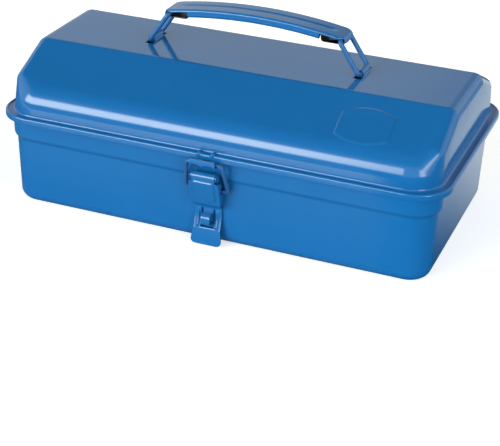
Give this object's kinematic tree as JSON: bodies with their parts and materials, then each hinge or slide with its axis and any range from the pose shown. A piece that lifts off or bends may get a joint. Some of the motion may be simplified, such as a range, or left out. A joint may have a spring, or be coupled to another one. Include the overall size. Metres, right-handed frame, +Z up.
{
  "type": "tool box",
  "caption": "Pressed-steel tool box with a hump lid on a rod hinge, a folding carrying handle and an over-centre draw latch with a padlock eye.",
  "frame": {"origin": "middle of the box in plan, on the underside that it stands on", "axes": "+X along the box to the right, -Y towards the latch, +Y towards the hinge, +Z up"},
  "size_m": [0.36, 0.2043, 0.1579],
  "materials": {
    "blue_enamel": "gloss enamel over pressed steel sheet",
    "wire_enamel": "gloss enamel over steel wire",
    "black_guide": "moulded, slightly glossy"
  },
  "bodies": {
    "box": {"pan": "blue_enamel", "hinge_rod": "wire_enamel", "latch_plate": "blue_enamel", "latch_rivets": "wire_enamel", "latch_pin": "wire_enamel"},
    "lid": {"lid": "blue_enamel", "lid_hook": "blue_enamel"},
    "grip": {"grip": "blue_enamel", "grip_guide_left": "black_guide", "grip_guide_right": "black_guide"},
    "handle_wire_left": {"handle_wire_left": "wire_enamel"},
    "handle_wire_right": {"handle_wire_right": "wire_enamel"},
    "latch_lever": {"latch_lever": "blue_enamel"},
    "latch_bail": {"latch_bail": "wire_enamel"}
  },
  "joints": [
    {"name": "lid_hinge", "type": "hinge", "parent": "box", "child": "lid", "pos_m": [0, 0.0965, 0.0755], "axis": [-1, 0, 0], "range_deg": [0, 105]},
    {"name": "latch_lever", "type": "hinge", "parent": "box", "child": "latch_lever", "pos_m": [0, -0.0993, 0.0595], "axis": [-1, 0, 0], "range_deg": [0, 82]},
    {"name": "latch_bail", "type": "hinge", "parent": "latch_lever", "child": "latch_bail", "pos_m": [0, -0.0935, 0.047], "axis": [-1, 0, 0], "range_deg": [-43, 0]},
    {"name": "handle_fold", "type": "slide", "parent": "lid", "child": "grip", "axis": [0, 0, 1], "range_m": [-0.02, 0]},
    {"name": "handle_wire_right", "type": "hinge", "parent": "lid", "child": "handle_wire_right", "pos_m": [0.0872, 0, 0.1234], "axis": [0, 1, 0], "range_deg": [-47.5, 0]},
    {"name": "handle_wire_left", "type": "hinge", "parent": "lid", "child": "handle_wire_left", "pos_m": [-0.0872, 0, 0.1234], "axis": [0, 1, 0], "range_deg": [0, 47.5]}
  ],
  "couplings": [
    {"joint": "latch_bail", "follows": "latch_lever", "ratio": -0.52},
    {"joint": "handle_wire_right", "follows": "handle_fold", "rad_per_m": 41.26},
    {"joint": "handle_wire_left", "follows": "handle_fold", "rad_per_m": -41.26}
  ]
}
